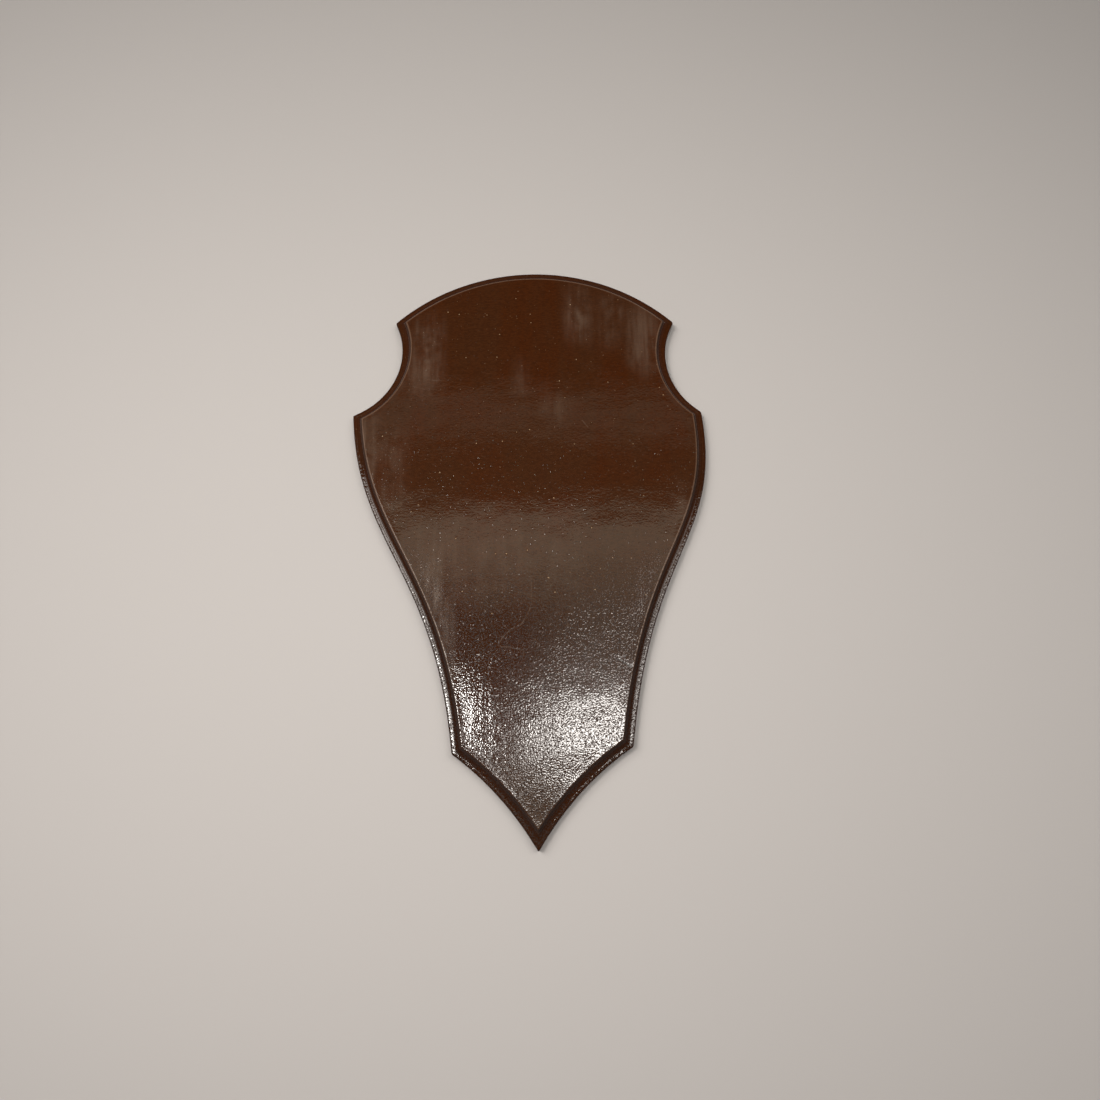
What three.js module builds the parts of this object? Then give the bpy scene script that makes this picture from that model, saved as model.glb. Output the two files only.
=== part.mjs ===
// A shield-shaped wooden mounting board, the kind that a trophy or a plaque is fixed to.
//
// One solid board lies on its back. Its outline has an arched top between two round
// notches, long tapering sides, and two hollow curves that meet in a point. A cove (a
// quarter hollow) is routed all round the front edge and leaves a narrow ledge outside it.
//
// Units are millimetres. +Z points out of the front face and +Y towards the arched top.
// The origin is on the back, at the middle of the board's bounding box.
import * as THREE from 'three';

// ---------------------------------------------------------------- driving dimensions

const BOARD_HEIGHT = 520; // from the point to the crown of the arch
const BOARD_THICKNESS = 20;

const LEDGE_WIDTH = 3; // flat strip left outside the cove
const COVE_RADIUS = 6; // the hollow is as deep as it is wide
const LEDGE_EDGE_ROUND = 1.2; // sanded outer edge of the ledge
const BACK_EDGE_ROUND = 1; // sanded edge of the back
const FACE_EDGE_ROUND = 0.7; // softened edge between the cove and the face
const FACE_CORNER_ROUND = 1; // smallest plan radius left at a corner by the lacquer

// Corners of the outline while they are still sharp: the distance out from the centre
// line, the height above the point, and the radius that each is then rounded to. The two
// halves are not mirror images: the left shoulder is wider and the left notch is deeper.
const POINT_ROUND = 0.8;
const LEFT = {
  foot: { reach: 70.4, height: 76.2, round: 4 },
  shoulder: { reach: 165.5, height: 376, round: 1.5 },
  horn: { reach: 130.5, height: 469, round: 3 },
  tailRadius: 253, // hollow curve from the foot to the point
  notchRadius: 67, // hollow curve between the shoulder and the horn
  footLean: 5.9, // degrees that the side leans out as it leaves the foot
  footPull: 154, // how far that direction is held
  shoulderLean: -3.2, // degrees that the side leans out below the shoulder
  shoulderPull: 121.6,
};
const RIGHT = {
  foot: { reach: 78, height: 80.6, round: 4 },
  shoulder: { reach: 150, height: 375.5, round: 4 },
  horn: { reach: 129.5, height: 466, round: 3 },
  tailRadius: 242.5,
  notchRadius: 68,
  footLean: 6.7,
  footPull: 170,
  shoulderLean: 6.9,
  shoulderPull: 120.4,
};

// How finely the curves are drawn.
const ARCH_STEPS = 36;
const NOTCH_STEPS = 16;
const SIDE_STEPS = 30;
const TAIL_STEPS = 18;
const CORNER_STEPS = 4;
const COVE_STEPS = 6;
const EDGE_STEPS = 2;

const LACQUER_BROWN = 0x43230f;

// ---------------------------------------------------------------- outline in plan

// A corner as a point: `hand` is +1 on the right half and -1 on the left.
function cornerPoint(corner, hand) {
  return new THREE.Vector2(hand * corner.reach, corner.height);
}

// A direction that leans `lean` degrees outwards from straight up (`rise` 1) or down (-1).
function leaning(lean, hand, rise) {
  const angle = THREE.MathUtils.degToRad(lean);
  return new THREE.Vector2(hand * Math.sin(angle), rise * Math.cos(angle));
}

// The radius of the circle through two points that stands `rise` above their chord.
function radiusFromRise(chord, rise) {
  return rise / 2 + (chord * chord) / (8 * rise);
}

// A circular arc between two points of the outline, which runs anticlockwise. A full arc
// bulges out of the board, and a hollow one bulges into it.
function arcBetween(from, to, radius, isHollow) {
  const chord = to.clone().sub(from);
  const half = chord.length() / 2;
  const leftward = new THREE.Vector2(-chord.y, chord.x).normalize();
  const depth = Math.sqrt(radius * radius - half * half) * (isHollow ? -1 : 1);
  const centre = from.clone().lerp(to, 0.5).addScaledVector(leftward, depth);
  const startAngle = from.clone().sub(centre).angle();
  const endAngle = to.clone().sub(centre).angle();
  return new THREE.EllipseCurve(centre.x, centre.y, radius, radius, startAngle, endAngle, isHollow);
}

// The long side of one half, as the curve from its foot up to its shoulder.
function sideCurve(half, hand) {
  const foot = cornerPoint(half.foot, hand);
  const shoulder = cornerPoint(half.shoulder, hand);
  const footHandle = foot.clone().addScaledVector(leaning(half.footLean, hand, 1), half.footPull);
  const shoulderHandle = shoulder
    .clone()
    .addScaledVector(leaning(half.shoulderLean, hand, -1), half.shoulderPull);
  return new THREE.CubicBezierCurve(foot, footHandle, shoulderHandle, shoulder);
}

function reversed(curve) {
  return new THREE.CubicBezierCurve(curve.v3, curve.v2, curve.v1, curve.v0);
}

// The seven runs of the outline, anticlockwise from the point. Each names the radius of
// the corner that it starts from.
function outlineRuns() {
  const point = new THREE.Vector2(0, 0);
  const rightFoot = cornerPoint(RIGHT.foot, 1);
  const rightShoulder = cornerPoint(RIGHT.shoulder, 1);
  const rightHorn = cornerPoint(RIGHT.horn, 1);
  const leftHorn = cornerPoint(LEFT.horn, -1);
  const leftShoulder = cornerPoint(LEFT.shoulder, -1);
  const leftFoot = cornerPoint(LEFT.foot, -1);
  const archRise = BOARD_HEIGHT - (rightHorn.y + leftHorn.y) / 2;
  const archRadius = radiusFromRise(rightHorn.distanceTo(leftHorn), archRise);
  return [
    {
      curve: arcBetween(point, rightFoot, RIGHT.tailRadius, true),
      steps: TAIL_STEPS,
      cornerRound: POINT_ROUND,
    },
    { curve: sideCurve(RIGHT, 1), steps: SIDE_STEPS, cornerRound: RIGHT.foot.round },
    {
      curve: arcBetween(rightShoulder, rightHorn, RIGHT.notchRadius, true),
      steps: NOTCH_STEPS,
      cornerRound: RIGHT.shoulder.round,
    },
    {
      curve: arcBetween(rightHorn, leftHorn, archRadius, false),
      steps: ARCH_STEPS,
      cornerRound: RIGHT.horn.round,
    },
    {
      curve: arcBetween(leftHorn, leftShoulder, LEFT.notchRadius, true),
      steps: NOTCH_STEPS,
      cornerRound: LEFT.horn.round,
    },
    { curve: reversed(sideCurve(LEFT, -1)), steps: SIDE_STEPS, cornerRound: LEFT.shoulder.round },
    {
      curve: arcBetween(leftFoot, point, LEFT.tailRadius, true),
      steps: TAIL_STEPS,
      cornerRound: LEFT.foot.round,
    },
  ];
}

// ---------------------------------------------------------------- rings inside the outline

function outwardNormal(curve, t) {
  const along = curve.getTangent(t);
  return new THREE.Vector2(along.y, -along.x);
}

// The point of a curve at `t`, moved `inset` into the board.
function insetPoint(curve, t, inset) {
  return curve.getPoint(t).addScaledVector(outwardNormal(curve, t), -inset);
}

// Where two neighbouring curves cross once both are moved `inset` into the board, by
// Newton's method: `t` is on the curve before the corner and `u` on the one after it.
function crossing(before, after, inset) {
  const nudge = 1e-3;
  const rounds = 12;
  let t = 1;
  let u = 0;
  for (let i = 0; i < rounds; i++) {
    const a = insetPoint(before, t, inset);
    const b = insetPoint(after, u, inset);
    const alongA = a.clone().sub(insetPoint(before, t - nudge, inset)).divideScalar(nudge);
    const alongB = insetPoint(after, u + nudge, inset).sub(b).divideScalar(nudge);
    const gap = b.sub(a);
    const det = alongA.cross(alongB);
    t += gap.cross(alongB) / det;
    u += gap.cross(alongA) / det;
  }
  return { t, u };
}

// The outline moved `inset` into the board, as a ring of points. Every ring has the same
// number of points, so two rings can be joined point by point.
function ring(runs, inset) {
  const corners = runs.map((run, i) => {
    const before = runs[(i + runs.length - 1) % runs.length];
    const round = Math.max(run.cornerRound - inset, FACE_CORNER_ROUND);
    return { round, ...crossing(before.curve, run.curve, inset + round) };
  });
  const points = [];
  runs.forEach((run, i) => {
    const start = corners[i];
    const end = corners[(i + 1) % runs.length];
    const next = runs[(i + 1) % runs.length];
    for (let k = 0; k <= run.steps; k++) {
      const t = THREE.MathUtils.lerp(start.u, end.t, k / run.steps);
      points.push(insetPoint(run.curve, t, inset));
    }
    const centre = insetPoint(run.curve, end.t, inset + end.round);
    const normal = outwardNormal(run.curve, end.t);
    const turn = normal.angleTo(outwardNormal(next.curve, end.u));
    for (let k = 1; k < CORNER_STEPS; k++) {
      const spoke = normal.clone().multiplyScalar(end.round);
      spoke.rotateAround(new THREE.Vector2(), (turn * k) / CORNER_STEPS);
      points.push(centre.clone().add(spoke));
    }
  });
  return points;
}

// ---------------------------------------------------------------- section of the edge

// A quarter circle about (inset, z) from one angle to another, in equal steps.
function quarter(inset, z, radius, startDegrees, endDegrees, steps) {
  const stations = [];
  for (let k = 0; k <= steps; k++) {
    const degrees = THREE.MathUtils.lerp(startDegrees, endDegrees, k / steps);
    const angle = THREE.MathUtils.degToRad(degrees);
    stations.push({ inset: inset + radius * Math.cos(angle), z: z + radius * Math.sin(angle) });
  }
  return stations;
}

// The stations of the edge, from the back to the face. `inset` is how far each one lies
// inside the outline.
function edgeSection() {
  const ledgeZ = BOARD_THICKNESS - COVE_RADIUS;
  const coveBottom = LEDGE_WIDTH;
  const faceInset = LEDGE_WIDTH + COVE_RADIUS;
  const back = quarter(BACK_EDGE_ROUND, BACK_EDGE_ROUND, BACK_EDGE_ROUND, 270, 180, EDGE_STEPS);
  const ledge = quarter(
    LEDGE_EDGE_ROUND,
    ledgeZ - LEDGE_EDGE_ROUND,
    LEDGE_EDGE_ROUND,
    180,
    90,
    EDGE_STEPS,
  );
  // The cove stops just short of the face, where the softened edge takes over.
  const softened = THREE.MathUtils.radToDeg(Math.asin(FACE_EDGE_ROUND / COVE_RADIUS));
  const cove = quarter(coveBottom, BOARD_THICKNESS, COVE_RADIUS, 270, 360 - softened, COVE_STEPS);
  const face = { inset: faceInset + FACE_EDGE_ROUND, z: BOARD_THICKNESS };
  const faceTurn = quarter(
    faceInset + FACE_EDGE_ROUND,
    BOARD_THICKNESS - FACE_EDGE_ROUND,
    FACE_EDGE_ROUND,
    180,
    90,
    EDGE_STEPS,
  ).slice(1, -1);
  return [...back, ...ledge, ...cove, ...faceTurn, face];
}

// ---------------------------------------------------------------- the board

function boardGeometry() {
  const runs = outlineRuns();
  const section = edgeSection();
  const rings = section.map((station) => ring(runs, station.inset));
  const count = rings[0].length;

  const positions = [];
  rings.forEach((points, level) => {
    points.forEach((point) => positions.push(point.x, point.y, section[level].z));
  });

  const indices = [];
  for (let level = 0; level < rings.length - 1; level++) {
    const lower = level * count;
    const upper = lower + count;
    for (let k = 0; k < count; k++) {
      const next = (k + 1) % count;
      indices.push(lower + k, lower + next, upper + next);
      indices.push(lower + k, upper + next, upper + k);
    }
  }
  const top = (rings.length - 1) * count;
  THREE.ShapeUtils.triangulateShape(rings[0], []).forEach(([a, b, c]) => indices.push(c, b, a));
  THREE.ShapeUtils.triangulateShape(rings[rings.length - 1], []).forEach(([a, b, c]) => {
    indices.push(top + a, top + b, top + c);
  });

  const geometry = new THREE.BufferGeometry();
  geometry.setAttribute('position', new THREE.Float32BufferAttribute(positions, 3));
  geometry.setIndex(indices);
  geometry.computeVertexNormals();
  return geometry;
}

const board = new THREE.Mesh(
  boardGeometry(),
  new THREE.MeshStandardMaterial({ color: LACQUER_BROWN, roughness: 0.22, metalness: 0 }),
);
board.name = 'shield_board';

// The outline is drawn from its point, so the board is moved to stand on the origin.
const middle = new THREE.Box3().setFromObject(board).getCenter(new THREE.Vector3());
board.position.set(-middle.x, -middle.y, 0);

const group = new THREE.Group();
group.add(board);

export default group;
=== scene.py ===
# %% [markdown]
# # A lacquered shield board
# A trophy or an engraved plaque is screwed to a flat wooden board like this one. The board
# is sawn to a shield outline, a cove is routed round its front edge, and it gets a thick
# coat of brown lacquer, brushed on from top to bottom. This lesson takes the board's exact
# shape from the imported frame, gives it the soft edges and the uneven skin of real lacquer
# as mesh, and then the finish, the lights and the camera.

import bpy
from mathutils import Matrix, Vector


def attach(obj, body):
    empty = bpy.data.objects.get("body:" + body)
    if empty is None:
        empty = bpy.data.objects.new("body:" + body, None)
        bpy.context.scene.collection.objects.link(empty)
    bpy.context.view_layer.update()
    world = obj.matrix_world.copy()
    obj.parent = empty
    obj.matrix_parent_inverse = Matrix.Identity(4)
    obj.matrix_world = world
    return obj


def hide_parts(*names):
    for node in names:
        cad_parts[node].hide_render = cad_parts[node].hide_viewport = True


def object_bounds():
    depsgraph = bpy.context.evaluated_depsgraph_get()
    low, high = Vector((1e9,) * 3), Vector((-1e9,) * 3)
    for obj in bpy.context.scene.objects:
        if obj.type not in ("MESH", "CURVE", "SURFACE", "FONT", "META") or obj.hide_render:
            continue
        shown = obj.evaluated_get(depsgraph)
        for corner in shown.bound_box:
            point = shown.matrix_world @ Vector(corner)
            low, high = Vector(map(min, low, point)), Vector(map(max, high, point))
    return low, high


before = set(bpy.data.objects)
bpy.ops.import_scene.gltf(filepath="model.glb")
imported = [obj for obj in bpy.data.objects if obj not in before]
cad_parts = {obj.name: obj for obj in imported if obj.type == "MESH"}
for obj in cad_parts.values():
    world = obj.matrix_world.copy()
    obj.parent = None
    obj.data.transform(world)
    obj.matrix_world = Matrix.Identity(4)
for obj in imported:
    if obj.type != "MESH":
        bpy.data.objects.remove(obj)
cad_low, cad_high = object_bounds()
print("the board measures", [round(side * 1000, 1) for side in cad_high - cad_low], "mm")

# %% [markdown]
# ## Tools for the bench
# Blender works in metres and a joiner in millimetres, so MM turns one into the other.
# Operators act on whatever is selected, so each step first selects just what it means to
# change. The last helper picks faces by their place, as a click would.

# %% Helpers
import math

import bmesh
import bpy
import numpy as np
from mathutils import Vector

MM = 0.001


def select_only(thing):
    """Selects one object, makes it active and deselects all others."""
    bpy.ops.object.select_all(action="DESELECT")
    thing.select_set(True)
    bpy.context.view_layer.objects.active = thing


def select_faces(thing, wanted):
    """In edit mode, selects the faces that wanted(face) is true for, and no others."""
    bpy.ops.mesh.select_mode(type="FACE")
    bpy.ops.mesh.select_all(action="DESELECT")
    shape = bmesh.from_edit_mesh(thing.data)
    count = 0
    for face in shape.faces:
        if wanted(face):
            face.select_set(True)
            count += 1
    bmesh.update_edit_mesh(thing.data)
    return count


# %% [markdown]
# ## The sawn and routed board
# The frame holds the board as loose triangles that already have the true outline and the
# true cove. A copy of them is the blank: its corners are welded, and the flat front and back
# are taken off for now. Working on a copy leaves the frame as it was.

# %% Take the blank from the frame
WELD = 0.01 * MM
LEVEL = 0.9999  # how upright a normal is on a flat face

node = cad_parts["shield_board"]
board = bpy.data.objects.new("lacquered_board", node.data.copy())
bpy.context.scene.collection.objects.link(board)
board.data.materials.clear()
back_z, top_z = cad_low.z, cad_high.z

select_only(board)
bpy.ops.object.mode_set(mode="EDIT")
bpy.ops.mesh.select_all(action="SELECT")
bpy.ops.mesh.customdata_custom_splitnormals_clear()
bpy.ops.mesh.remove_doubles(threshold=WELD)


def is_cap(face):
    """True for a face of the flat front or back."""
    z = face.calc_center_median().z
    return abs(face.normal.z) > LEVEL and (z < back_z + WELD or z > top_z - WELD)


caps = select_faces(board, is_cap)
bpy.ops.mesh.delete(type="FACE")
print(caps, "cap triangles removed")

# %% [markdown]
# ## Clean quads round the edge
# Smoothing needs clean four-sided faces, and the frame has long thin triangles. So only the
# level rings of edges that run round the board stay, and each is bridged to the next with one
# row of quads. Wall, ledge and cove keep their exact places.

# %% Bridge the rings into quads
def is_level(edge):
    """True for an edge that runs round the board at one height."""
    start, end = edge.verts
    across_ledge = all(face.normal.z > LEVEL for face in edge.link_faces)
    return abs(start.co.z - end.co.z) < WELD and not across_ledge


bpy.ops.mesh.select_mode(type="EDGE")
bpy.ops.mesh.select_all(action="DESELECT")
shape = bmesh.from_edit_mesh(board.data)
for edge in shape.edges:
    edge.select_set(not is_level(edge))
bmesh.update_edit_mesh(board.data)
bpy.ops.mesh.delete(type="EDGE_FACE")
bpy.ops.mesh.select_all(action="SELECT")
bpy.ops.mesh.bridge_edge_loops()
bpy.ops.object.mode_set(mode="OBJECT")
print(len(board.data.polygons), "faces round the edge;",
      sum(len(face.vertices) != 4 for face in board.data.polygons), "not quads")

# %% [markdown]
# ## Softening the edge
# Sandpaper and a thick lacquer leave no facet and no knife edge. A subdivision surface
# rounds the sawn curves and the cove a little, and it never swells past the blank, so the
# size stays true. It is applied at once, because the next steps need the finer mesh.

# %% Soften the edge
def apply_modifier(thing, kind, **settings):
    """Adds a modifier with its settings and applies it."""
    modifier = thing.modifiers.new(kind.title(), kind)
    for name, value in settings.items():
        setattr(modifier, name, value)
    select_only(thing)
    bpy.ops.object.modifier_apply(modifier=modifier.name)


apply_modifier(board, "SUBSURF", levels=1, render_levels=1)
print("softened edge:", len(board.data.polygons), "faces")

# %% [markdown]
# ## Closing the front and the back
# Each opening is filled with one large face. The front is then cut by parallel planes into
# small squares, fine enough to carry the brush ridges, dust and scratches that come later,
# and a narrow ring along its rim keeps those off the corner. The plain back needs only a
# coarse grid.

# %% Fill the openings
FRONT_SQUARE = 1.4 * MM
RIM_RING = 0.6 * MM
BACK_SQUARE = 12 * MM


def fill_opening(z):
    """Closes the opening whose rim lies at z with a single face, left selected."""
    bpy.ops.mesh.select_mode(type="VERT")
    bpy.ops.mesh.select_all(action="DESELECT")
    shape = bmesh.from_edit_mesh(board.data)
    for vertex in shape.verts:
        vertex.select_set(abs(vertex.co.z - z) < WELD)
    shape.select_flush(True)
    bmesh.update_edit_mesh(board.data)
    bpy.ops.mesh.edge_face_add()
    bpy.ops.mesh.select_mode(type="FACE")


def cut_into_squares(spacing):
    """Cuts the selected faces by upright planes, spaced evenly along X and Y."""
    bpy.ops.mesh.hide(unselected=True)
    for axis, normal in ((1, (0, 1, 0)), (0, (1, 0, 0))):
        cuts = int((cad_high[axis] - cad_low[axis]) / spacing)
        for step in range(1, cuts):
            place = Vector((0, 0, 0))
            place[axis] = cad_low[axis] + step * (cad_high[axis] - cad_low[axis]) / cuts
            bpy.ops.mesh.select_all(action="SELECT")
            bpy.ops.mesh.bisect(plane_co=place, plane_no=normal)
    bpy.ops.mesh.reveal(select=False)


select_only(board)
bpy.ops.object.mode_set(mode="EDIT")
fill_opening(back_z)
cut_into_squares(BACK_SQUARE)
fill_opening(top_z)
bpy.ops.mesh.inset(thickness=RIM_RING, use_even_offset=True)
cut_into_squares(FRONT_SQUARE)
bpy.ops.mesh.select_all(action="SELECT")
bpy.ops.mesh.normals_make_consistent(inside=False)
bpy.ops.object.mode_set(mode="OBJECT")
print("closed board:", len(board.data.polygons), "faces")

# %% [markdown]
# ## How far in from the outline
# Lacquer behaves differently on the ledge, in the cove, at the edge of the face and in the
# open. One measure tells them apart: how far a point lies inside the outline. The upright
# wall of the blank is that outline, so it is sampled finely and every vertex is given its
# distance to it, as an attribute that the finish can read too.

# %% Measure from the outline
from mathutils.kdtree import KDTree

SAMPLE = 0.3 * MM


def tree_of(places):
    """A search tree over points given as (x, y), laid in one plane."""
    tree = KDTree(len(places))
    for index, place in enumerate(places):
        tree.insert((place[0], place[1], 0), index)
    tree.balance()
    return tree


def wall_points(mesh):
    """Points along the board's upright wall, in plan."""
    places = []
    for edge in mesh.edges:
        start, end = (mesh.vertices[index].co for index in edge.vertices)
        if (start.xy - end.xy).length < WELD and abs(start.z - end.z) > WELD:
            continue
        if abs(start.z - wall_z) < WELD and abs(end.z - wall_z) < WELD:
            steps = max(1, int((end - start).length / SAMPLE))
            places += [start.lerp(end, step / steps).xy for step in range(steps)]
    return places


def write_attribute(name, values):
    """Gives every vertex of the board a number under that name."""
    attribute = board.data.attributes.new(name, "FLOAT", "POINT")
    attribute.data.foreach_set("value", np.asarray(values, dtype=np.float32))


def vertex_places():
    """The board's vertices as rows of x, y and z."""
    places = np.empty(len(board.data.vertices) * 3)
    board.data.vertices.foreach_get("co", places)
    return places.reshape(-1, 3)


def nearest(tree, places):
    """For each place, in plan: which point of the tree is nearest, and how far away it is."""
    found = [tree.find((place[0], place[1], 0)) for place in places]
    return np.array([index for _, index, _ in found]), np.array([far for *_, far in found])


wall_z = max(vertex.co.z for vertex in node.data.vertices
             if vertex.co.y <= cad_low.y + WELD)
samples = wall_points(node.data)
outline = tree_of(samples)
print("outline sampled at", len(samples), "points; wall top at", round(wall_z / MM, 1), "mm")

# %% [markdown]
# ## Dust, pits and scratches
# Fine dust settles while lacquer is wet and leaves small raised nibs. A few bubbles burst
# into pits, and later handling adds scratches. Here they only get their places, and they are
# raised and sunk once the skin has been carved. Nibs fall at random, but from a fixed seed,
# so each run makes the same.

# %% Place the small marks
FINE_NIBS, COARSE_NIBS = 190, 45
NAMED_NIBS = ((-37.6, 212.3), (-28.1, 168.9), (72.6, 142.3), (-24.8, 61.5), (-8.8, 237.1))
PITS = ((54.9, -157.7), (50.3, -176.6), (46.1, -186.8))
SCRATCHES = (  # how pale, and the corners of the path in millimetres
    (0.9, (2.6, -60.1), (0.5, -67), (-5.3, -77.6), (-7.4, -80.2), (-15.3, -83.3), (-22, -90.1),
     (-25.6, -96.3), (-23.2, -97.9), (-16.3, -98), (-6.4, -100.7), (-4.3, -100.7), (-4.3, -106)),
    (0.3, (1.6, -25), (2.6, -60.1)),
    (0.3, (1.9, -56.3), (12.6, -62.9), (22, -67.3), (28.7, -72.8), (34.3, -82.3), (46.7, -88.8),
     (56.9, -94.2), (67.1, -100.6), (73.1, -105.8)),
    (0.5, (-90.6, 147.2), (-78.8, 145.5)),
    (0.4, (-104, 140.9), (-88.5, 135.7)),
    (0.5, (48.3, 105.3), (53.5, 98.5)),
)
SPLIT = ((73, -109), (79.9, -113), (86.2, -117.9))
SPLIT_LIP = ((73, -103), (79, -107), (85, -111))  # the wood stands a little proud above it
BRUSH_LINE = ((11.3, -128), (10.5, -150), (8.6, -172.2))
FACE_INSET = 12.5 * MM  # nibs and pits stay this far inside the outline
NIB_LOWEST = -105 * MM
PATH_STEP = 0.2 * MM

rng = np.random.default_rng(7)


def is_inside(x, y):
    """True where a plumb line at (x, y) meets the board's front."""
    hit, *_ = node.ray_cast(Vector((x, y, 1)), Vector((0, 0, -1)))
    return hit


def scatter_on_face(count):
    """Random places on the front, well inside its edge and above the glare."""
    places = []
    while len(places) < count:
        x = rng.uniform(cad_low.x, cad_high.x)
        y = rng.uniform(NIB_LOWEST, cad_high.y)
        _, _, distance = outline.find((x, y, 0))
        if distance > FACE_INSET and is_inside(x, y):
            places.append((x, y))
    return places


def along(path):
    """Points at an even spacing along a path of corners given in millimetres."""
    places = []
    for start, end in zip(path, path[1:]):
        start, end = Vector(start) * MM, Vector(end) * MM
        steps = max(1, math.ceil((end - start).length / PATH_STEP))
        places += [tuple(start.lerp(end, step / steps)) for step in range(steps + 1)]
    return places


coarse_nibs = [(x * MM, y * MM) for x, y in NAMED_NIBS] + scatter_on_face(COARSE_NIBS)
fine_nibs = scatter_on_face(FINE_NIBS)
pits = [(x * MM, y * MM) for x, y in PITS]
scratches = [(pale, along(path)) for pale, *path in SCRATCHES]
split, split_lip, brush_line = (along(path) for path in (SPLIT, SPLIT_LIP, BRUSH_LINE))
print(len(coarse_nibs) + len(fine_nibs), "nibs,", len(pits), "pits,",
      len(scratches), "scratches and a split")

# %% [markdown]
# ## Finer squares near the marks
# Each mark is much smaller than a square of the front. Cutting only the squares near one into
# nine gives it enough mesh and keeps the rest of the board light.

# %% Refine the squares near a mark
REFINE_REACH = 1.1 * MM

mark_points = coarse_nibs + fine_nibs + pits + split + brush_line
for _, path in scratches:
    mark_points += path
marks = tree_of(mark_points)


def near_a_mark(face):
    """True for a face of the front that is close to any small mark."""
    middle = face.calc_center_median()
    return middle.z > top_z - MM and marks.find((middle.x, middle.y, 0))[2] < REFINE_REACH


select_only(board)
bpy.ops.object.mode_set(mode="EDIT")
chosen = select_faces(board, near_a_mark)
bpy.ops.mesh.subdivide(number_cuts=2)
bpy.ops.object.mode_set(mode="OBJECT")
print(chosen, "squares refined;", len(board.data.polygons), "faces now")

# %% [markdown]
# ## The skin of the lacquer
# Brushed lacquer never dries flat. It keeps long ridges along the brush strokes, a fine
# orange peel and a slow waviness, each a fifth of a millimetre deep at most, and yet they
# decide how a window looks in it. Three Displace modifiers carve them as real mesh.
# An empty that is stretched along Y gives the strokes their direction. With the middle
# level at 1 a displacement only ever cuts inwards, so the board keeps its size.

# %% Carve the skin
def carve(name, grain, depth, stretch=1.0):
    """Cuts a cloudy relief into the board: grain and depth in millimetres."""
    texture = bpy.data.textures.new(name, "CLOUDS")
    texture.noise_scale = grain * MM
    texture.noise_depth = 2
    guide = bpy.data.objects.new(name + "_guide", None)
    bpy.context.scene.collection.objects.link(guide)
    guide.scale = (1, stretch, 1)
    bpy.context.view_layer.update()
    apply_modifier(board, "DISPLACE", texture=texture, texture_coords="OBJECT",
                   texture_coords_object=guide, strength=depth * MM, mid_level=1.0)
    bpy.data.objects.remove(guide)
    bpy.data.textures.remove(texture)


carve("brush_ridges", grain=4.0, depth=0.05, stretch=30)
carve("orange_peel", grain=4.0, depth=0.03)
carve("slow_waves", grain=45, depth=0.2)

# %% [markdown]
# ## Raising and sinking the marks
# Each mark is a small bump or hollow with a bell-shaped section. The same bell is kept as
# an attribute, so that the finish can colour a nib or a pit exactly where its mesh is.

# %% Shape the marks
COARSE_NIB, FINE_NIB = (0.16, 0.45), (0.1, 0.36)  # height and radius in millimetres
PIT, SPLIT_CUT, SCRATCH = (0.25, 0.45), (0.2, 0.35), (0.02, 0.35)
LIP, LINE = (0.12, 3.0), (0.01, 0.4)
BEAD_WIDTH, BEAD_DROP = (9.6, 13.5), 0.1  # the thicker coat along the face's edge

places = vertex_places()
on_front = places[:, 2] > top_z - MM
from_edge = nearest(outline, places)[1] / MM


def smooth_step(values, low, high):
    """0 below low, 1 above high and a soft S between them."""
    share = np.clip((np.asarray(values) - low) / (high - low), 0, 1)
    return share * share * (3 - 2 * share)


def bell(points, radius, weights=None):
    """The point's weight (or 1) at each point, falling to 0 over a few radii; front only."""
    index, far = nearest(tree_of(points), places[on_front])
    weight = 1 if weights is None else weights[index]
    height = np.zeros(len(places))
    height[on_front] = weight * np.exp(-(far / (radius * MM)) ** 2)
    return height


coarse = bell(coarse_nibs, COARSE_NIB[1], rng.uniform(0.6, 1, len(coarse_nibs)))
fine = bell(fine_nibs, FINE_NIB[1], rng.uniform(0.3, 1, len(fine_nibs)))
pitted, cracked = bell(pits, PIT[1]), bell(split, SPLIT_CUT[1])
proud, brushed = bell(split_lip, LIP[1]), bell(brush_line, LINE[1])
scratched = np.max([pale * bell(path, SCRATCH[1]) for pale, path in scratches], axis=0)
places[:, 2] += MM * (COARSE_NIB[0] * coarse + FINE_NIB[0] * fine - PIT[0] * pitted
                      - SPLIT_CUT[0] * cracked - SCRATCH[0] * scratched
                      + LIP[0] * proud - LINE[0] * brushed
                      - BEAD_DROP * on_front * smooth_step(from_edge, *BEAD_WIDTH))
places[:, 2] = np.minimum(places[:, 2], top_z)  # nothing stands above the blank
board.data.vertices.foreach_set("co", places.ravel())
print("front lies between", round(places[on_front, 2].min() / MM, 2), "and",
      round(places[on_front, 2].max() / MM, 2), "mm")

# %% [markdown]
# ## Where the lacquer has gone dull, and painted reflections
# Wiping and damp leave milky patches in old lacquer, drawn out along the brush strokes. The
# patches here are partly such bloom and partly painted reflection: pale streaks of the lit room
# and the windows, the soft lower edge of the lit ceiling and a veil near the point. Each patch
# here is a soft-sided rectangle. Writing them into the mesh as an attribute keeps their places in
# one table, and the finish later breaks them up into streaks.

# %% Mark the dull patches and painted reflections
HAZE_AND_SHEEN = (  # how dull, and how strong its painted reflection, then the patch's left, right, low and high sides in millimetres
    (0.4, -110, -78, 135, 205), (1.0, -99, -88, 147, 200), (0.55, 36, 57, 188, 234),
    (0.45, 67, 88, 185, 228), (0.5, 93, 118, 154, 219), (0.45, -11, -2, 132, 157),
    (0.3, 12, 38, 104, 126), (0.55, -152, -134, 30, 110), (0.25, -134, -108, 20, 95),
    (0.7, -86, -74, -75, -10), (0.7, -78, -66, -140, -60), (0.4, 127, 142, 0, 34),
    (0.3, 0, 18, 2, 15), (0.15, -105, 45, -62, 15), (0.5, 2, 12, -250, -236),
)
SIDE_SOFT, END_SOFT = 9, 22


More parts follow.
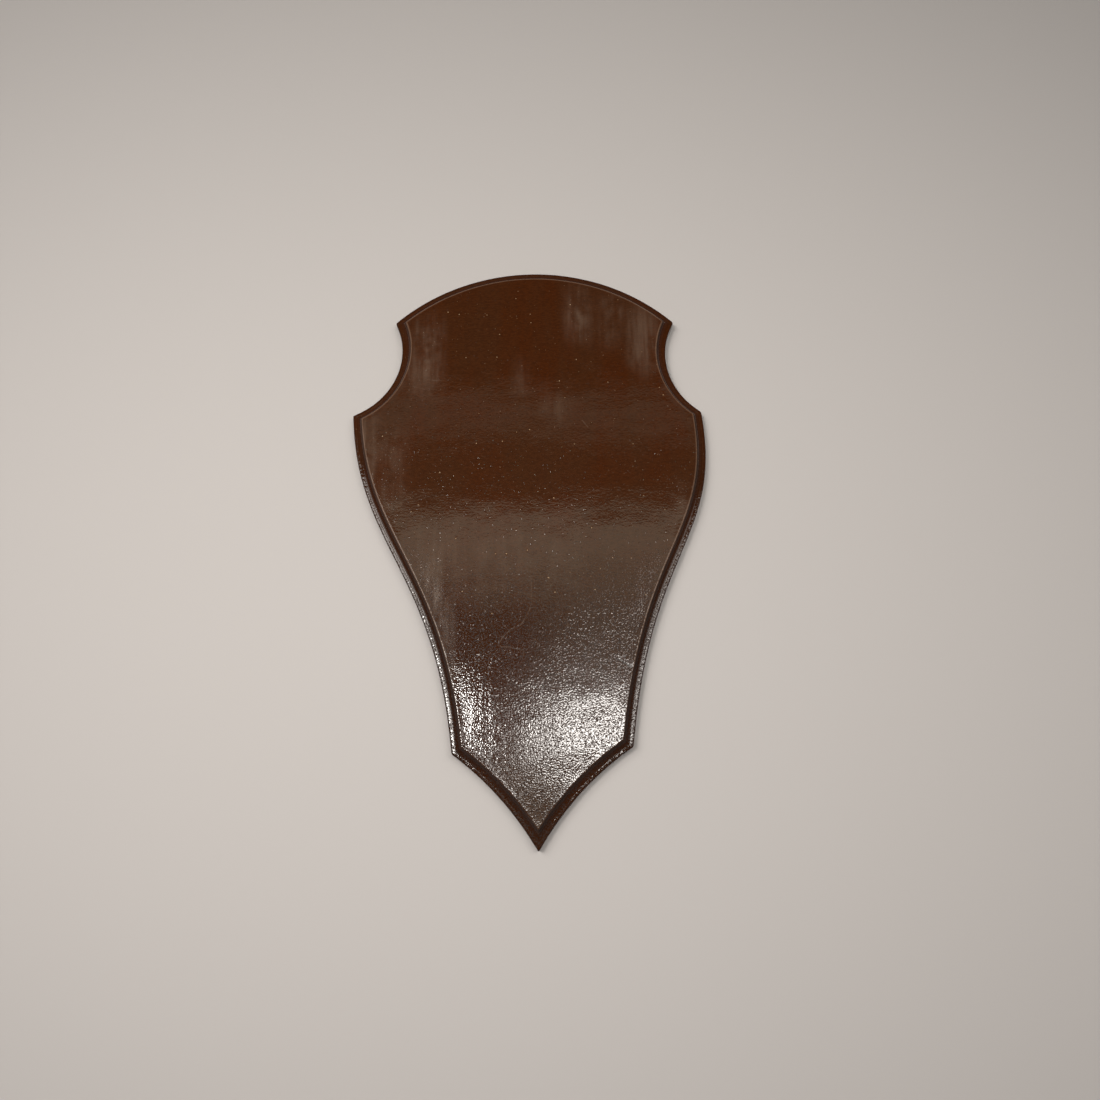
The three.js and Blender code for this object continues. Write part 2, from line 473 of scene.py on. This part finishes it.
def soft_box(values, low, high, soft):
    """1 between low and high and 0 outside, with sides that are soft by that much."""
    return (smooth_step(values, low - soft, low + soft)
            * (1 - smooth_step(values, high - soft, high + soft)))


haze_and_sheen = np.zeros(len(places))
for dull, left, right, low, high in HAZE_AND_SHEEN:
    patch = (soft_box(places[:, 0] / MM, left, right, SIDE_SOFT)
             * soft_box(places[:, 1] / MM, low, high, END_SOFT))
    haze_and_sheen = np.maximum(haze_and_sheen, dull * patch * on_front)

write_attribute("from_edge", from_edge)
write_attribute("nib", np.maximum(coarse, 0.6 * fine))
write_attribute("pit", np.maximum(pitted, cracked))
write_attribute("dull", np.maximum(np.maximum(pitted, cracked), 0.7 * brushed))
write_attribute("scratch", scratched)
write_attribute("haze_and_sheen", haze_and_sheen)
select_only(board)
bpy.ops.object.shade_smooth()
print("haze on", int((haze_and_sheen > 0).sum()), "of", len(places), "vertices")

# %% [markdown]
# ## The finish
# The real finish is brown, reddish and glossy, and shows every mark. It could be painted as
# a picture, but a procedural one stays sharp at any distance and has no seams. Colours are
# given as sRGB hex, as a paint chart does, and one function turns them linear. A second one
# adds a node and sets or links its inputs.

# %% Colours and nodes
def linear(hex_colour):
    """An sRGB hex colour as the linear red, green, blue and alpha that nodes use."""
    channels = [int(hex_colour[i:i + 2], 16) / 255 for i in (1, 3, 5)]
    return [c / 12.92 if c <= 0.04045 else ((c + 0.055) / 1.055) ** 2.4 for c in channels] + [1.0]


def add_node(tree, kind, settings=None, **inputs):
    """Adds a node. settings are its own properties, and inputs are values or outputs to link.

    An input is named as in Blender, with _ for a space, or by its number after a _.
    """
    made = tree.nodes.new(kind)
    for name, value in (settings or {}).items():
        setattr(made, name, value)
    for name, value in inputs.items():
        key = int(name[1:]) if name[0] == "_" and name[1:].isdigit() else name.replace("_", " ")
        if isinstance(value, bpy.types.NodeSocket):
            tree.links.new(value, made.inputs[key])
        else:
            made.inputs[key].default_value = value
    return made


print("middle grey #808080 is", round(linear("#808080")[0], 3), "in linear light")

# %% [markdown]
# ## Tools for patterns
# A finish is built from a few kinds of step: a cloudy noise, a soft ramp that picks out part
# of a value, and mixing, multiplying and adding. Each gets a short name here, so that the
# recipe further down reads like one. They all work in the lacquer's own node tree, and in
# real millimetres: Object coordinates are metres, so they are first multiplied by a thousand.

# %% Pattern tools
lacquer = bpy.data.materials.new("lacquered_wood")
lacquer.use_nodes = True
tree = lacquer.node_tree
tree.nodes.clear()

coords = add_node(tree, "ShaderNodeTexCoord")
place = add_node(tree, "ShaderNodeVectorMath", {"operation": "SCALE"},
                 _0=coords.outputs["Object"], Scale=1 / MM).outputs[0]


def noise(across, along, detail=3.0):
    """Noise that repeats about every `across` mm across and `along` mm up the board."""
    stretched = add_node(tree, "ShaderNodeMapping", _0=place,
                         Scale=(1 / across, 1 / along, 1 / across)).outputs[0]
    return add_node(tree, "ShaderNodeTexNoise", Vector=stretched, Scale=1.0,
                    Detail=detail).outputs["Fac"]


def ramp(value, low, high, low_to=0.0, high_to=1.0):
    """A soft S from low_to, where the value is low, to high_to, where it is high."""
    return add_node(tree, "ShaderNodeMapRange", {"interpolation_type": "SMOOTHSTEP"},
                    Value=value, From_Min=low, From_Max=high,
                    To_Min=low_to, To_Max=high_to).outputs[0]


def mix(factor, first, second):
    """The first colour, with that share of the second."""
    return add_node(tree, "ShaderNodeMix", {"data_type": "RGBA"},
                    _0=factor, _6=first, _7=second).outputs[2]


def attribute(name):
    """A number that the mesh carries."""
    return add_node(tree, "ShaderNodeAttribute", {"attribute_name": name}).outputs["Fac"]


def multiply(first, second):
    """The product of two values."""
    return add_node(tree, "ShaderNodeMath", {"operation": "MULTIPLY"},
                    _0=first, _1=second).outputs[0]


def weighted_sum(*terms):
    """Adds up values, each given with its weight."""
    total = 0.0
    for value, weight in terms:
        total = add_node(tree, "ShaderNodeMath", {"operation": "MULTIPLY_ADD"},
                         _0=value, _1=weight, _2=total).outputs[0]
    return total


print("pattern tools work in", lacquer.name)

# %% [markdown]
# ## Where on the board
# Lacquer is thin on the worn arris, dull in the steep part of the cove, raw on the ledge and
# thick and grainy towards the point. The same masks also place painted shade in the cove and on
# the rim, and a painted reflection on the arris. Each of these places is a mask: 1 there and 0
# elsewhere.
# Working them out from the distance in from the outline and the place on the board makes them
# follow every curve, with nothing painted by hand.

# %% Masks
# Millimetres in from the outline: where a mask starts, where it is full and, for a strip,
# where it begins to fade and where it ends.
RIM = (1.2, 0.4)  # the rounded outer edge
LEDGE = (3.4, 2.8)
COVE = (8.8, 7.8)  # the cove with the ledge
STEEP = (7.0, 7.8, 9.0, 9.3)  # the steep part of the cove
ARRIS = (8.6, 9.1, 9.8, 10.6)  # the corner between the cove and the face
FAR_IN = 100  # the back counts as this far in, so that it gets none of the edge's marks

# Millimetres up the board, across it or above the table: where a mask starts and is full.
ARRIS_WEAR_AND_SHEEN = (-140, -80)
THICK = (0, -90)  # the coat turns thick and grainy
TAIL = (-185, -205)  # the point at the foot
UPPER = (40, 110)
RIGHT = (-20, 60)
BACK = (0.6, 0.3)


def strip(value, start, full, fading, end):
    """A mask that rises from start to full and falls again from fading to end."""
    return multiply(ramp(value, start, full), ramp(value, end, fading))


axes = add_node(tree, "ShaderNodeSeparateXYZ", Vector=place)
rightward, upward = axes.outputs["X"], axes.outputs["Y"]
behind = ramp(axes.outputs["Z"], *BACK)
inward = weighted_sum((attribute("from_edge"), 1.0), (behind, FAR_IN))
thick = ramp(upward, *THICK)
tail = ramp(upward, *TAIL)
on_right = ramp(rightward, *RIGHT)
rim = ramp(inward, *RIM)
cove = ramp(inward, *COVE)
steep = strip(inward, *STEEP)
arris = multiply(strip(inward, *ARRIS), ramp(upward, *ARRIS_WEAR_AND_SHEEN, 0.15, 1))
print(len(tree.nodes), "nodes tell the places apart")

# %% [markdown]
# ## The colour
# The real coat is most likely a brown alkyd lacquer, nearly opaque, over beech or spruce.
# Layers of colour are mixed over one another, most as the years laid them: the brown drifts a
# little and turns darker towards the point, the ledge, cove and rim are darkened with painted
# shade, the arris is paler, partly worn and partly a painted reflection, wiping has left bloom,
# partly painted reflection, and scratches, and dust and pits come on top. Mixing keeps each one's
# strength a number that can be changed.

# %% Colour
BROWN, DULL_BROWN, DARK_BROWN = map(linear, ("#431f09", "#402513", "#251106"))
THIN_COAT, WORN_AND_SHEEN, BLOOM_AND_SHEEN = map(linear, ("#5f381f", "#836550", "#8e7b6b"))
DUST, PIT_BLACK = map(linear, ("#c0a07c", "#100703"))
GRIT_SPACING, GRIT_RADIUS = 3.2, 0.5  # millimetres
SPOT_SIZE = 1.15  # millimetres

brown = mix(ramp(noise(45, 70), 0.35, 0.65, 0, 0.6), BROWN, DULL_BROWN)
brown = mix(ramp(noise(9, 90), 0.35, 0.7, 0, 0.3), brown, DULL_BROWN)
brown = mix(ramp(noise(3.0, 1.2), 0.3, 0.7, 0, 0.4), brown, DARK_BROWN)
# The brown turns darker towards the point.
brown = mix(multiply(thick, 0.4), brown, DARK_BROWN)

# Painted shade: the ledge and cove are darkened towards dark brown, most near the top, less lower
# down and least at the point.
cove_shade = multiply(ramp(tail, 0, 1, 1, 0.4), ramp(upward, *UPPER, 0.5, 0.2))
brown = mix(multiply(cove, cove_shade), brown, DARK_BROWN)
# Painted shade: the steep part of the cove is darkened a little more.
brown = mix(multiply(steep, 0.2), brown, DARK_BROWN)
# Painted shade: the rounded outer edge is darkened almost to dark brown, drawing a dark outline.
brown = mix(multiply(rim, 0.8), brown, DARK_BROWN)
# The arris is paler: partly worn lacquer and partly a painted reflection of a soft light beyond
# the top, faint low down and at the point.
brown = mix(multiply(arris, ramp(tail, 0, 1, 0.4, 0.1)), brown, WORN_AND_SHEEN)

streaks = multiply(ramp(noise(5, 55), 0.3, 0.65, 0.35, 1.0),
                   ramp(noise(13, 20), 0.3, 0.6, 0.2, 1.0))
hazy_and_sheen = multiply(attribute("haze_and_sheen"), streaks)
# Milky bloom and painted reflection: the hazy patches are mixed towards a pale grey-brown.
brown = mix(multiply(hazy_and_sheen, 0.4), brown, BLOOM_AND_SHEEN)
scratched_pale = multiply(attribute("scratch"), ramp(noise(4, 4), 0.4, 0.6, 0.1, 0.35))
brown = mix(scratched_pale, brown, BLOOM_AND_SHEEN)

grit_cells = add_node(tree, "ShaderNodeTexVoronoi", Vector=place, Scale=1 / GRIT_SPACING)
grit = ramp(grit_cells.outputs["Distance"], GRIT_RADIUS / GRIT_SPACING, 0)
speck = multiply(grit, ramp(grit_cells.outputs["Color"], 0.6, 0.8, 0, 0.4))
brown = mix(speck, brown, DUST)
brown = mix(ramp(attribute("nib"), 0.15, 0.7), brown, DUST)
brown = mix(ramp(attribute("pit"), 0.2, 0.8), brown, PIT_BLACK)

wood_grain = noise(1.6, 110)
brown = mix(multiply(behind, ramp(wood_grain, 0.35, 0.65, 0.1, 0.6)), brown, THIN_COAT)

# Lower down the board a lower peak of the noise is enough for a dull spot. The back has none.
spotted = weighted_sum((noise(SPOT_SIZE, SPOT_SIZE, 1.0), 1.0),
                       (ramp(upward, 60, -90), 0.2), (behind, -1.0))
dull_spots = ramp(spotted, 0.74, 0.81)
brown = mix(multiply(dull_spots, 0.6), brown, PIT_BLACK)
print("colour mixed;", len(tree.nodes), "nodes now")

# %% [markdown]
# ## The finest relief
# Some relief is too fine for mesh and goes into a Bump node as heights in millimetres. Orange
# peel and pimples break up a window's image into sparkle, brush strokes draw it out, flat
# ripples roughen its edge and slow waves bend it. The ledge was never rubbed down, dust
# stands proud, and the back shows the pores of the wood.

# %% Relief
PEEL, PIMPLES, STROKES, RIPPLES, WAVES = 0.058, 0.03, 0.02, 0.045, 0.3  # depths in millimetres
LEDGE_RAW, GRIT, PORES = 0.2, 0.1, 0.15

peel = noise(1.25, 1.25, 0.0)
raw_ledge = multiply(ramp(inward, *LEDGE, 0, LEDGE_RAW), ramp(tail, 0, 1, 1, 0.2))
relief = weighted_sum(
    (peel, ramp(upward, *THICK, 0.4 * PEEL, PEEL)),
    (ramp(peel, 0.58, 0.75), multiply(multiply(thick, on_right), PIMPLES)),
    (noise(1.3, 60, 1.0), STROKES),
    (noise(3.5, 1.8, 1.0), ramp(upward, *THICK, RIPPLES, 0.1 * RIPPLES)),
    (noise(1.9, 1.9, 1.0), raw_ledge),
    (noise(40, 24, 1.0), WAVES),
    (grit, GRIT),
    (wood_grain, multiply(behind, PORES)))
bump = add_node(tree, "ShaderNodeBump", Strength=1.0, Distance=MM, Height=relief).outputs[0]
print("relief set;", len(tree.nodes), "nodes now")

# %% [markdown]
# ## The gloss
# New lacquer is nearly a mirror. Haze, wear, pits and the dull spots each add their own share
# of roughness, and one Principled shader brings colour, gloss and relief together.

# %% Gloss
GLOSS = 0.05  # the roughness of clean lacquer

roughness = weighted_sum((hazy_and_sheen, 0.2), (steep, 0.9), (arris, 0.2), (attribute("dull"), 0.45),
                         (multiply(rim, tail), 0.4), (dull_spots, 0.9), (behind, 0.3),
                         (1.0, GLOSS))
surface = add_node(tree, "ShaderNodeBsdfPrincipled", Base_Color=brown, Roughness=roughness,
                   IOR=1.5, Normal=bump)
output = add_node(tree, "ShaderNodeOutputMaterial")
tree.links.new(surface.outputs[0], output.inputs["Surface"])
print("the lacquer has", len(tree.nodes), "nodes")

# %% [markdown]
# ## Handing the board over
# The lacquered board rides on the frame's one body, takes the place of its plain node, and
# wears its finish under a slot name that anyone who reuses the part can find.

# %% Lacquer the board
board.data.materials.append(lacquer)
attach(board, "root")
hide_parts("shield_board")
print(board.name, "has", len(board.data.polygons), "faces; slot:", board.data.materials[0].name)

# %% [markdown]
# ## The table
# The board lies on a plain pale table top, one large square painted matt, so that it mirrors
# nothing. It is a stage, not a part of the object.

# %% Lay the table
TABLE_SIZE = 6  # metres
TABLE_COLOUR, TABLE_ROUGHNESS = "#bfbab8", 0.8

bpy.ops.object.select_all(action="DESELECT")
bpy.ops.mesh.primitive_plane_add(size=TABLE_SIZE, location=(0, 0, back_z))
table_top = bpy.context.object
table_top.name = "table_top"
paint = bpy.data.materials.new("matt_table_paint")
paint.use_nodes = True
shader = paint.node_tree.nodes["Principled BSDF"]
shader.inputs["Base Color"].default_value = linear(TABLE_COLOUR)
shader.inputs["Roughness"].default_value = TABLE_ROUGHNESS
table_top.data.materials.append(paint)
print(table_top.name, "lies at", round(back_z / MM, 2), "mm")

# %% [markdown]
# ## The camera
# It hangs above the board's lower half and tilts a little towards the arched top, so that
# the whole board and the windows mirrored near its point are seen at once.

# %% Hang the camera
EYE = Vector((0.0214, -0.2132, 0.7247))
TILT, SWING, LEAN = 15.706, 0.423, -0.629  # degrees
LENS = 28  # millimetres

bpy.ops.object.camera_add(location=EYE)
camera = bpy.context.object
camera.name = "camera_above"
camera.rotation_euler = [math.radians(angle) for angle in (TILT, SWING, LEAN)]
camera.data.lens = LENS
bpy.context.scene.camera = camera
print(camera.name, "is", round((EYE.z - top_z) * 1000), "mm above the board")

# %% [markdown]
# ## The light
# A glossy face shows whatever lies where the line from the eye, mirrored in it, goes on
# upwards. So each lamp is placed by the patch of the board that it should shine in: from
# the patch the mirrored line is followed to the lamp's height, and the lamp is as much
# larger than the patch as the line is longer.

# %% Hang the lamps
HANG = 1.2  # metres above the board
DAYLIGHT, CEILING = "#fffbf5", "#fffde2"
WINDOW_LAMPS = (  # name, the sides of its patch (left, right, low, high) in mm, radiance, tint
    ("window_right", 15, 125, -188, -150, 34, DAYLIGHT),
    ("window_right_top", -2, 105, -150, -115, 1.6, DAYLIGHT),
    ("window_right_sill", -8, 15, -205, -150, 9, DAYLIGHT),
    ("window_far_right", 125, 260, -190, -130, 8, DAYLIGHT),
    ("window_far_right_top", 112, 260, -130, -45, 5, DAYLIGHT),
    ("wall_right", 260, 450, -190, -20, 1.5, DAYLIGHT),
    ("glow_right", 30, 125, -92, -50, 0.6, CEILING),
    ("glow_right_low", 10, 125, -130, -92, 0.5, CEILING),
    ("window_left", -140, -54, -190, -138, 66, DAYLIGHT),
    ("window_left_sill", -54, -42, -210, -165, 9, DAYLIGHT),
    ("window_far_left", -265, -142, -190, 30, 7, DAYLIGHT),
    ("window_left_edge", -142, -104, -132, -40, 5, DAYLIGHT),
    ("wall_left", -450, -265, -190, 30, 1.5, DAYLIGHT),
)


def hang_lamp(name, left, right, low, high, radiance, tint, height=HANG):
    """Hangs a soft lamp that the board mirrors between those sides of a patch, in mm."""
    reach = height / (EYE.z - top_z)
    spot = Vector(((left + right) / 2, (low + high) / 2)) * MM
    place = spot + (spot - EYE.xy) * reach
    lamp = bpy.data.lights.new(name, "AREA")
    lamp.shape = "RECTANGLE"
    lamp.size, lamp.size_y = ((side * MM) * (1 + reach) for side in (right - left, high - low))
    lamp.energy = radiance * math.pi * lamp.size * lamp.size_y
    lamp.color = linear(tint)[:3]
    hung = bpy.data.objects.new(name, lamp)
    hung.location = (place.x, place.y, top_z + height)
    bpy.context.scene.collection.objects.link(hung)


for lamp in WINDOW_LAMPS:
    hang_lamp(*lamp)
print(len(WINDOW_LAMPS), "window lamps hung")

# %% [markdown]
# ## The lit ceiling
# The pale band across the middle is the lit part of the ceiling, which fades towards its
# edges. A few lamps of falling size, one over another, give that fade, since their light adds
# up where they overlap. Each hangs a centimetre higher than the last, because lamps in
# exactly one plane would hide one another.

# %% Light the ceiling
CEILING_STEPS = 6
CEILING_SIDES, CEILING_LOW, CEILING_HIGH = (-175, 175), -71, 28  # the largest patch, in mm
LOW_STEP, HIGH_STEP, HANG_STEP = 9, -3, 0.01  # to the next one, in mm, mm and metres
CEILING_RADIANCE = 1.02  # of all of them together
CEILING_LAMPS = (  # the rest of the ceiling, and a wall
    ("ceiling_dim", -175, 175, -150, -58, 0.05, CEILING),
    ("far_ceiling", -175, 175, 95, 130, 0.32, CEILING),
    ("far_ceiling_dim", -175, 175, 30, 88, 0.04, CEILING),
    ("far_ceiling_left", -175, -70, 35, 135, 0.25, CEILING),
    ("far_ceiling_right", 35, 175, 30, 125, 0.22, CEILING),
    ("low_wall", -60, 40, -250, -190, 0.8, CEILING),
)

for step in range(CEILING_STEPS):
    hang_lamp(f"ceiling_{step}", *CEILING_SIDES, CEILING_LOW + LOW_STEP * step,
              CEILING_HIGH + HIGH_STEP * step, CEILING_RADIANCE / CEILING_STEPS, CEILING,
              HANG + HANG_STEP * step)
for lamp in CEILING_LAMPS:
    hang_lamp(*lamp)
print(CEILING_STEPS + len(CEILING_LAMPS), "ceiling lamps hung")

# %% [markdown]
# ## The dim room
# Between the lamps the board mirrors a dim room: nearly black overhead, a little paler low
# down, where the walls catch some light. One grey that changes with the slope of the mirrored
# line is enough for that.

# %% Fill the room
ROOM_TURN = (0.7, 0.8)  # how steep a line is where low gives way to overhead; 1 is upright
ROOM_LOW, ROOM_OVERHEAD = 0.08, 0.02

world = bpy.data.worlds.new("pale_room")
bpy.context.scene.world = world
world.use_nodes = True
sky = world.node_tree
sky.nodes.clear()
way = add_node(sky, "ShaderNodeTexCoord")
rise = add_node(sky, "ShaderNodeSeparateXYZ", Vector=way.outputs["Generated"]).outputs["Z"]
level = add_node(sky, "ShaderNodeMapRange", {"interpolation_type": "SMOOTHSTEP"}, Value=rise,
                 From_Min=ROOM_TURN[0], From_Max=ROOM_TURN[1],
                 To_Min=ROOM_LOW, To_Max=ROOM_OVERHEAD).outputs[0]
glow = add_node(sky, "ShaderNodeBackground", Color=linear("#ffffff"), Strength=level)
room = add_node(sky, "ShaderNodeOutputWorld")
sky.links.new(glow.outputs[0], room.inputs["Surface"])
bpy.context.scene.view_settings.view_transform = "Standard"
print("room strength:", ROOM_LOW, "low down,", ROOM_OVERHEAD, "overhead")
